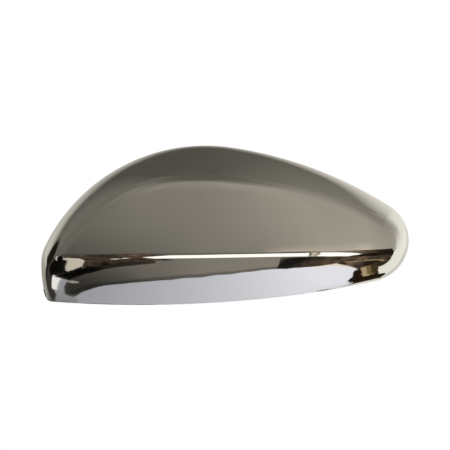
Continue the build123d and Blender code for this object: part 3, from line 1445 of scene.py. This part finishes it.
@dataclass
class PaintedRoomReflection:
    """A painted reflection of the room that the plating shows: cards whose glow paints its light and
    shade, in the order from far to near.
    """

    farthest: float = 50.0
    spacing: float = 0.2
    unseen_by: tuple[str, ...] = ("camera", "diffuse", "transmission", "volume_scatter", "shadow")

    def build(self, plating: Triple) -> list[bpy.types.Object]:
        """Makes all the cards.

        Args:
            plating: The plating's own colour.

        Returns:
            The cards, which only reflections see.
        """
        papers = {paper: self.paper(paper) for paper in Paper}
        made = []
        for place, card in enumerate([*self.room(), *self.left(), *self.middle(), *self.right()]):
            piece = card.build(self.farthest - self.spacing * place, plating)
            piece.data.materials.append(papers[card.paper])
            for ray in self.unseen_by:
                setattr(piece, f"visible_{ray}", False)
            made.append(piece)
        return made

    def paper(self, paper: Paper) -> bpy.types.Material:
        """Makes a card's glowing paper, which is clear where the card fades out.

        Args:
            paper: Which paper.

        Returns:
            The material.
        """
        made = bpy.data.materials.new(paper.value)
        made.use_nodes = True
        nodes = made.node_tree.nodes
        nodes.remove(nodes["Principled BSDF"])
        sheet = NodeSheet(made.node_tree)
        glow = sheet.add("ShaderNodeAttribute", attribute_name="glow")
        light = sheet.add("ShaderNodeEmission", {"Color": glow.outputs["Color"]})
        clear = sheet.add("ShaderNodeBsdfTransparent")
        mix = sheet.add(
            "ShaderNodeMixShader",
            {"Fac": glow.outputs["Alpha"], 1: clear.outputs["BSDF"], 2: light.outputs["Emission"]},
        )
        sheet.feed(nodes["Material Output"], {"Surface": mix.outputs["Shader"]})
        if paper is Paper.MOTTLED:
            sheet.feed(light, {"Strength": Mottling().strength(sheet)})
        return made

    def room(self) -> list[Card]:
        """Lists the walls, the sill, the ceiling, the table and the strip along its near side.

        Returns:
            The cards, from far to near.
        """
        table_edge = [
            (-180, -58), (-125, -66), (-112, -68), (-100, -70.3), (-83, -73.6), (-74, -75.8),
            (-63.5, -77.8), (-49.5, -79.3), (-27, -80.6), (9.7, -80.1), (35.8, -76.8), (52, -72.3),
            (58, -70.2), (63.5, -68.8), (71.5, -65.5), (75.3, -63.6), (80, -61), (88.5, -58.9),
            (92, -58.3), (97, -58), (112, -59), (150, -44), (180, -10),
        ]
        return [
            Card(
                "backdrop",
                low=[(-180, -90), (180, -90)],
                high=[(-180, 90), (180, 90)],
                tone=(112, 108, 98),
            ),
            StripCard(
                "nose_wall",
                low=[(60, -62), (120, -62), (180, -30)],
                high=[(60, 16), (100, 24), (150, 24), (180, 24)],
                stations=((60, 226), (150, 226), (154, 210), (159, 191), (180, 190)),
                tint=(1, 0.985, 0.93),
            ),
            StripCard(
                "tail_wall",
                low=[(-180, -58), (-125, -66), (-112, -68)],
                high=[(-180, 24), (-160, 24), (-145, 16), (-112, 12)],
                stations=(
                    (-180, 190), (-172, 140), (-167, 138), (-163, 156), (-158, 186), (-150, 150),
                    (-130, 116), (-112, 60),
                ),
                tint=(1, 0.985, 0.92),
            ),
            StripCard(
                "sill",
                low=[(-48, -20), (72, -20)],
                high=[(-48, 16), (72, 16)],
                stations=(
                    (-48, 80), (-14, 62), (-7, 96), (11, 99), (25, 116), (34, 50), (41, 156),
                    (50, 107), (61, 48), (72, 40),
                ),
            ),
            CeilingCard(
                "ceiling",
                low=[(-180, 5), (-160, 8), (-152, 5), (-60, 9), (50, 9), (66, 3), (180, 5)],
                high=[(-180, 90), (180, 90)],
                soft_low=5,
                steps=(360, 120),
            ),
            TableCard("table", low=[(-180, -90), (180, -90)], high=table_edge, steps=(360, 60)),
            StripCard(
                "apron",
                low=[point for point in table_edge if -113 < point[0] < 60],
                high=[(-112, -66.6), (-108, -66.2), (-80, -66), (-40, -67), (-16, -58), (58, -56)],
                stations=(
                    (-112, 120), (-106, 48), (-90, 50), (-62, 77), (-43, 99), (-17, 110), (6, 122),
                    (52, 129),
                ),
                border=1.9,
            ),
        ]

    def left(self) -> list[Card]:
        """Lists the painted reflection of what stands in front of the tail: dark shapes with pale gaps
        between them, a painted sheen and painted glints.

        Returns:
            The cards, from far to near.
        """
        return [
            StripCard(
                "tail_dark",
                low=[
                    (-152, -18), (-135, -40), (-120, -62.5), (-112, -64.7), (-105.5, -64.7),
                    (-104.5, -63.2), (-90, -63.2), (-84, -63.8), (-72, -65.3), (-60, -66), (-46, -64),
                ],
                high=[(-152, 15), (-140, 16.5), (-125, 15), (-100, 12), (-46, 10)],
                stations=(
                    (-152, 26), (-140, 34), (-122, 46), (-104, 60), (-95, 50), (-89, 12), (-46, 12),
                ),
                tint=(1, 0.94, 0.84),
                soft_high=3,
            ),
            StripCard(
                "tail_sheen",
                low=[(-157, -30), (-140, -50), (-119, -62)],
                high=[
                    (-157, -2), (-148, -8), (-140, -12), (-133, -13.5), (-130, -20), (-124, -33),
                    (-119, -40),
                ],
                stations=((-157, 150), (-148, 138), (-132, 116), (-124, 104), (-119, 74)),
                tint=(1, 0.98, 0.94),
                soft_high=4,
            ),
            Card(
                "tail_post",
                low=[(-160, -1), (-155, -6), (-151, -9)],
                high=[(-160, 1.5), (-155.6, 9), (-153.5, 13.5), (-151, 15)],
                tone=(24, 19, 12),
                soft_sides=0.8,
                soft_high=1.5,
            ),
            StripCard(
                "tail_grey",
                low=[(-125, -67.5), (-113, -68.4), (-109, -66.4), (-84, -66.2)],
                high=[(-125, -63), (-112, -64.6), (-84, -64.2)],
                stations=((-125, 110), (-116, 132), (-104, 142), (-84, 150)),
                tint=(1, 1, 1.02),
            ),
            Card(
                "tail_patch",
                low=[(-105, -65.05), (-86, -64.9)],
                high=[(-105, -61.5), (-90, -61.8), (-86, -63.4)],
                tone=(230, 225, 219),
                soft_sides=1.5,
            ),
            Card(
                "tail_gap",
                low=[(-104, 9), (-90, -4), (-80, -20), (-74, -45), (-69, -48)],
                high=[(-104, 22), (-84, 17), (-69, 10)],
                tone=(172, 160, 150),
                soft_sides=3,
                soft_low=4,
                soft_high=3,
            ),
            Card(
                "tail_glint",
                low=[(-91.5, -67), (-89, -68.4), (-86, -68.6)],
                high=[(-91.5, -65.6), (-89, -66.2), (-86, -67.6)],
                tone=(150, 145, 136),
                soft_sides=1.5,
            ),
            StripCard(
                "brown_bank",
                low=[(-66, -66.6), (-54, -68), (-43, -68.4), (-36, -69), (-12, -70.6)],
                high=[(-66, -64.4), (-58, -61.5), (-50, -55), (-44, -42), (-40, 7), (-12, 7)],
                stations=((-66, 44), (-46, 50), (-35, 66), (-28, 42), (-18, 78), (-12, 60)),
                tint=(1, 0.83, 0.68),
                paper=Paper.MOTTLED,
            ),
            Card(
                "bank_glint",
                low=[(-39, -62.5), (-33, -57), (-29.5, -56), (-24, -50)],
                high=[(-39, -59), (-33, -52), (-29.5, -53.5), (-24, -40)],
                tone=(205, 194, 186),
                soft_sides=1,
            ),
            Card(
                "cream_patch",
                low=[
                    (-78, -64.6), (-73, -65), (-66, -65.2), (-61, -64), (-57, -62), (-51, -57),
                    (-46, -50), (-43, -44),
                ],
                high=[
                    (-78, -64.2), (-73, -62.9), (-69, -62), (-64, -60), (-58, -54), (-52, -47),
                    (-48, -42.5), (-43, -32),
                ],
                tone=(188, 179, 163),
                soft_sides=1,
            ),
            StripCard(
                "tail_kerb",
                low=[
                    (-88, -66.4), (-80.5, -67.2), (-69, -68.4), (-58, -69.3), (-47.5, -70),
                    (-38, -70.8), (-24, -71.2),
                ],
                high=[
                    (-88, -63.4), (-80, -64.3), (-71, -65.2), (-63.5, -66.4), (-54, -68), (-43, -68),
                    (-36, -69), (-24, -69.9),
                ],
                stations=((-88, 10), (-64, 10), (-56, 38), (-45, 38), (-36, 44), (-24, 54)),
                tint=(1, 0.88, 0.74),
            ),
        ]

    def middle(self) -> list[Card]:
        """Lists the painted reflection of the window in front with its mullion, and the cornice, a
        painted bright glint line over its sill.

        Returns:
            The cards, from far to near.
        """
        bar = [(35.5, 5), (36, -6), (38, -25), (43, -42), (51, -54)]
        bar_face = [(az + 0.8, el) for az, el in bar]
        bar_side = [(az + 2.5, el) for az, el in bar]
        bar_end = [(az + 3.5, el) for az, el in bar]
        return [
            # The cornice card paints a bright glint line low on the ceiling.
            StripCard(
                "cornice",
                low=[(18, 11.5), (62, 12)],
                high=[(18, 19.5), (62, 18.5)],
                stations=((18, 135), (31, 178), (52, 180), (57, 205), (62, 170)),
                tint=(1, 0.94, 0.85),
                soft_sides=9,
                soft_low=1.5,
                soft_high=4.5,
            ),
            Card(
                "window",
                low=[(-17.5, -60), (10, -60), (30, -56.5), (42, -54), (58, -53), (68, -51)],
                high=[
                    (-17.5, -36), (-12, -22), (-7, -7), (2, -7), (11, -3), (20, -3), (30, 0), (40, 3),
                    (45, 1), (50, -6), (56, -22), (62, -40), (68, -50),
                ],
                tone=(263, 258, 250),
                soft_low=3,
                soft_high=3,
            ),
            # The mullion's painted light and shade: a shaded strip, a lit face and a half-lit side.
            Card("mullion_shade", low=bar, high=bar_face, tone=(80, 70, 52)),
            Card("mullion_face", low=bar_face, high=bar_side, tone=(190, 182, 163)),
            Card("mullion_side", low=bar_side, high=bar_end, tone=(138, 128, 110)),
        ]

    def right(self) -> list[Card]:
        """Lists the painted reflection of what stands in front of the nose: a dark post, a bank below it
        and a pillar, whose lit face and shaded sides are painted.

        Returns:
            The cards, from far to near.
        """
        foot = [
            (93, -59), (95, -59.6), (104, -60.2), (114, -60.2), (123, -59.4), (134, -57), (146, -51.2),
            (150, -48.8), (157, -42.4), (165, -31.8), (172, -17.5),
        ]
        corner = [(93, -57.4), (104, -58.5), (116, -57.9), (124, -56.7)]
        face_end, side_end, far_end = ([(az, el + up) for az, el in corner] for up in (1.1, 2, 3.7))
        base = [
            (112, -54.5), (128, -52.4), (138, -49.3), (150, -42.5), (158, -35.3), (165, -26),
            (172, -11),
        ]
        trim = [(82, -58.8), (86, -56.9), (88, -55.5), (92, -53.3), (95, -52.6)]
        return [
            StripCard(
                "nose_post",
                low=[(51, 6), (55, -14), (60, -34), (66, -47), (72, -54), (80, -57), (98, -54)],
                high=[
                    (51, 13), (66, 14.5), (68, 8), (70, -4), (74, -20), (80, -33), (90, -44),
                    (98, -50),
                ],
                stations=((51, 105), (58, 58), (61, 26), (73, 22), (80, 44), (98, 70)),
                tint=(1, 0.82, 0.62),
                paper=Paper.MOTTLED,
            ),
            StripCard(
                "nose_shade",
                low=[
                    (44, -61), (50, -65), (52, -66.5), (54, -67.5), (57, -69), (58, -69.8),
                    (63.5, -68.8), (70, -66.2),
                ],
                high=[(44, -58), (58, -54), (70, -52)],
                stations=((44, 104), (50, 88), (56, 24), (62, 25), (70, 56)),
                tint=(1, 0.97, 0.82),
                soft_high=4,
            ),
            StripCard(
                "nose_bank",
                low=[
                    (64, -68.5), (71.5, -65.5), (75.3, -63.6), (80, -61), (88.5, -58.9), (92, -58.3),
                    (98, -57),
                ],
                high=[(64, -53), (76, -54), (86, -53), (98, -52)],
                stations=((64, 40), (70, 58), (82, 84), (84, 104), (90, 42), (98, 36)),
                tint=(1, 0.84, 0.66),
                paper=Paper.MOTTLED,
                soft_sides=2,
            ),
            # The table lip card paints a light streak along the table's edge.
            Card(
                "table_lip",
                low=[(73, -65.4), (80, -61.7), (88.5, -59.3), (92, -58.7)],
                high=[(73, -64.9), (80, -60.5), (84, -59.6), (88.5, -58.7), (92, -58.2)],
                tone=(226, 215, 200),
                soft_sides=2,
            ),
            Card("post_trim", low=trim, high=[(az, el + 0.5) for az, el in trim], tone=(156, 134, 106)),
            # The pillar's painted light and shade: a dark base and shaded foot, a lit face, a shaded
            # side and a darker far side.
            Card(
                "pillar_base",
                low=[point for point in foot if point[0] > 104],
                high=base,
                tone=(32, 24, 15),
            ),
            Card("pillar_shade", low=foot, high=[*corner, (172, -17)], tone=(32, 24, 15)),
            Card("pillar_face", low=corner, high=face_end, tone=(164, 144, 112)),
            Card("pillar_side", low=face_end, high=side_end, tone=(108, 92, 60)),
            Card("pillar_far_side", low=side_end, high=far_end, tone=(60, 48, 30)),
        ]


@dataclass
class Studio:
    """Camera, world, floor and the cards that paint what the plating reflects."""

    camera_distance: float = 1300.0
    frame_width: float = 293.9
    sensor: float = 36.0
    floor_drop: float = 250.0
    floor_radius: float = 800.0
    floor_plain: float = 200.0
    floor_segments: int = 96
    floor_grey: float = 0.86
    floor_roughness: float = 0.9

    def build(self, plating: Triple) -> None:
        """Sets up everything around the cover.

        Args:
            plating: The plating's own colour.
        """
        self.add_camera()
        self.add_world()
        self.add_floor()
        for card in PaintedRoomReflection().build(plating):
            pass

    def add_camera(self) -> None:
        """Adds the camera, straight in front and level with the pegs."""
        data = bpy.data.cameras.new("camera")
        data.sensor_width = self.sensor
        data.lens = self.sensor * self.camera_distance / self.frame_width
        camera = put_in_scene("camera", data)
        camera.location = (0.0, -self.camera_distance * MM, 0.0)
        camera.rotation_euler = (math.pi / 2, 0.0, 0.0)
        bpy.context.scene.camera = camera

    def add_world(self) -> None:
        """Fills the world with plain white light."""
        world = bpy.data.worlds.new("studio")
        world.use_nodes = True
        world.node_tree.nodes["Background"].inputs["Color"].default_value = (1.0, 1.0, 1.0, 1.0)
        bpy.context.scene.world = world

    def add_floor(self) -> None:
        """Adds a round pale floor below the cover."""
        mesh = bpy.data.meshes.new("floor")
        shape = bmesh.new()
        bmesh.ops.create_circle(
            shape, cap_ends=True, segments=self.floor_segments, radius=self.floor_radius * MM
        )
        shape.to_mesh(mesh)
        shape.free()
        mesh.transform(Matrix.Translation((0.0, 0.0, -self.floor_drop * MM)))
        floor = put_in_scene("floor", mesh)
        mesh.materials.append(self.floor_paper())
        # Hidden from reflections: the table card paints what the plating shows below it.
        floor.visible_glossy = False

    def floor_paper(self) -> bpy.types.Material:
        """Makes the floor's pale paper, which turns white towards its rim and is clear from below.

        Returns:
            The material.
        """
        made = bpy.data.materials.new("floor")
        made.use_nodes = True
        nodes = made.node_tree.nodes
        sheet = NodeSheet(made.node_tree)
        paper = nodes["Principled BSDF"]
        inputs = {"Base Color": (*[self.floor_grey] * 3, 1.0), "Roughness": self.floor_roughness}
        sheet.feed(paper, inputs)
        place = sheet.add("ShaderNodeTexCoord")
        far = sheet.add("ShaderNodeVectorMath", {0: place.outputs["Object"]}, operation="LENGTH")
        inputs = {
            "Value": far.outputs["Value"],
            "From Min": math.hypot(self.floor_drop, self.floor_plain) * MM,
            "From Max": math.hypot(self.floor_drop, self.floor_radius) * MM,
        }
        fade = sheet.add("ShaderNodeMapRange", inputs, interpolation_type="SMOOTHSTEP")
        white = sheet.add("ShaderNodeEmission")
        clear = sheet.add("ShaderNodeBsdfTransparent")
        side = sheet.add("ShaderNodeNewGeometry")
        rim = sheet.add(
            "ShaderNodeMixShader",
            {"Fac": fade.outputs["Result"], 1: paper.outputs["BSDF"], 2: white.outputs["Emission"]},
        )
        under = sheet.add(
            "ShaderNodeMixShader",
            {"Fac": side.outputs["Backfacing"], 1: rim.outputs["Shader"], 2: clear.outputs["BSDF"]},
        )
        sheet.feed(nodes["Material Output"], {"Surface": under.outputs["Shader"]})
        return made


def main() -> None:
    """Builds the cover's pieces and the studio in order."""
    logging.basicConfig(level=logging.INFO, format="%(message)s")
    bpy.context.scene.view_settings.view_transform = "Standard"
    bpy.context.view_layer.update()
    haze = PlatingHaze().group()
    show = ChromePlating("show_chrome")
    back = ChromePlating(
        "back_chrome", color=(0.70, 0.70, 0.69), roughness=0.29, smudge=0.12, ripple=0.05
    )
    shell = CoverShell()
    back_plating = back.material(haze)
    cover = shell.build()
    shell.dress(cover, show.material(haze), back_plating)
    for piece in [cover, *InnerFittings().build(back_plating)]:
        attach(piece, BODY)
        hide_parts(NODE)
        LOG.info("%s: %d faces", piece.name, len(piece.data.polygons))
    Studio().build(show.color)


if __name__ == "__main__":
    main()
